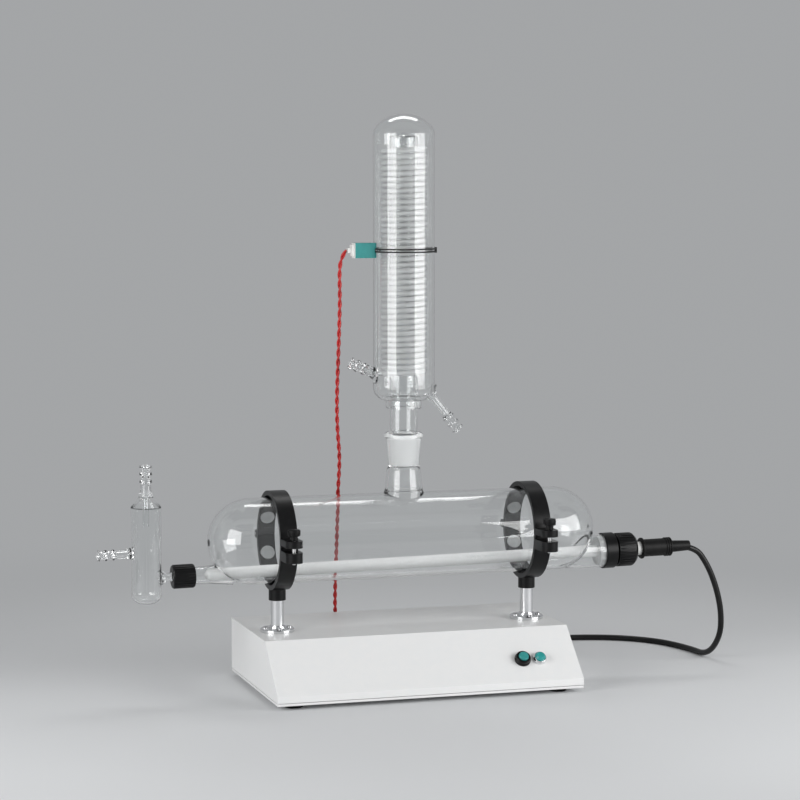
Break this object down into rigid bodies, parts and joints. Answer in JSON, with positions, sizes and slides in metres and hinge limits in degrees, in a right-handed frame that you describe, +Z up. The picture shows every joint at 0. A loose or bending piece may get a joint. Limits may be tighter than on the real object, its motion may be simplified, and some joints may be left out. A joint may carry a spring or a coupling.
{
  "type": "glass water distiller",
  "caption": "Bench water distiller: horizontal glass boiler in ring clamps on a wedge base, upright coil condenser, side level vessel.",
  "frame": {"origin": "centre of the base footprint on the bench", "axes": "+X to the heater's lead end, +Y to the back, +Z up"},
  "size_m": [0.6997, 0.2893, 0.603],
  "materials": {
    "powder_coat": "satin",
    "tray_white": "satin",
    "chrome": "polished",
    "screw_steel": "satin",
    "black_plastic": "satin",
    "white_silicone": "satin",
    "clear_glass": "polished",
    "frosted_quartz": "frosted",
    "heater_core": "satin",
    "black_rubber": "satin",
    "black_lead": "satin",
    "red_wire": "satin",
    "white_sleeve": "satin",
    "teal_plastic": "satin",
    "lens_teal": "gloss",
    "brass": "satin",
    "grey_plastic": "satin"
  },
  "bodies": {
    "stand": {"base_cover": "powder_coat", "base_tray": "tray_white", "rear_panel": "powder_coat", "rubber_feet": "black_rubber", "panel_screws": "screw_steel", "boiler_vessel": "clear_glass", "heater_tube": "frosted_quartz", "heater_element": "heater_core", "heater_seal": "white_silicone", "heater_ring": "black_plastic", "heater_sleeve": "white_sleeve", "heater_boot": "black_rubber", "strain_relief": "black_rubber", "heater_lead": "black_lead", "lead_gland": "black_plastic", "sensor_wires": "red_wire", "wire_grommet": "black_rubber", "button_housing": "black_plastic", "button_nut": "black_plastic", "lamp_bezel": "chrome", "lamp_lens": "lens_teal", "lamp_nut": "brass", "terminal_block": "grey_plastic", "power_relay": "black_plastic", "power_inlet": "black_plastic", "inlet_blades": "brass", "fuse_holder": "black_plastic", "level_seal": "white_silicone", "post_left": "chrome", "post_flange_left": "chrome", "flange_screws_left": "screw_steel", "lower_jaw_left": "black_plastic", "lower_pads_left": "white_silicone", "hinge_pin_left": "screw_steel", "post_right": "chrome", "post_flange_right": "chrome", "flange_screws_right": "screw_steel", "lower_jaw_right": "black_plastic", "lower_pads_right": "white_silicone", "hinge_pin_right": "screw_steel"},
    "button": {"power_button": "teal_plastic"},
    "left_jaw": {"upper_jaw_left": "black_plastic", "upper_pads_left": "white_silicone"},
    "right_jaw": {"upper_jaw_right": "black_plastic", "upper_pads_right": "white_silicone"},
    "left_screw": {"thumbscrew_left": "black_plastic"},
    "right_screw": {"thumbscrew_right": "black_plastic"},
    "condenser": {"condenser_jacket": "clear_glass", "steam_riser": "clear_glass", "condenser_coil": "clear_glass", "thermal_switch": "teal_plastic", "switch_terminals": "white_sleeve", "switch_band": "black_rubber"},
    "level_control": {"level_vessel": "clear_glass"},
    "cap": {"level_cap": "black_plastic"},
    "nut": {"heater_nut": "black_plastic"},
    "fuse": {"fuse_cap": "black_plastic"}
  },
  "joints": [
    {"name": "button_press", "type": "slide", "parent": "stand", "child": "button", "axis": [0, 0.676, -0.7369], "range_m": [0, 0.003], "stiffness_N_per_m": 600},
    {"name": "left_jaw_hinge", "type": "hinge", "parent": "stand", "child": "left_jaw", "pos_m": [-0.1385, 0.061, 0.1595], "axis": [-1, 0, 0], "range_deg": [0, 75]},
    {"name": "left_screw_turn", "type": "hinge", "parent": "left_jaw", "child": "left_screw", "pos_m": [-0.1385, -0.066, 0.1595], "axis": [0, 0, 1], "continuous": true},
    {"name": "right_jaw_hinge", "type": "hinge", "parent": "stand", "child": "right_jaw", "pos_m": [0.1385, 0.061, 0.1595], "axis": [-1, 0, 0], "range_deg": [0, 75]},
    {"name": "right_screw_turn", "type": "hinge", "parent": "right_jaw", "child": "right_screw", "pos_m": [0.1385, -0.066, 0.1595], "axis": [0, 0, 1], "continuous": true},
    {"name": "condenser_swivel", "type": "hinge", "parent": "stand", "child": "condenser", "pos_m": [0, 0.004, 0.2495], "axis": [0, 0, 1], "range_deg": [-15, 15]},
    {"name": "level_swivel", "type": "hinge", "parent": "stand", "child": "level_control", "pos_m": [-0.24198, 0.004, 0.12592], "axis": [0.9999, 0, 0.014], "range_deg": [-30, 30]},
    {"name": "cap_turn", "type": "hinge", "parent": "stand", "child": "cap", "pos_m": [-0.23798, 0.004, 0.12598], "axis": [0.9999, 0, 0.014], "continuous": true},
    {"name": "nut_turn", "type": "hinge", "parent": "stand", "child": "nut", "pos_m": [0.24998, 0.004, 0.13279], "axis": [0.9999, 0, 0.014], "continuous": true},
    {"name": "fuse_turn", "type": "hinge", "parent": "stand", "child": "fuse", "pos_m": [0.065, 0.088, 0.039], "axis": [0, 1, 0], "range_deg": [-90, 0]}
  ]
}
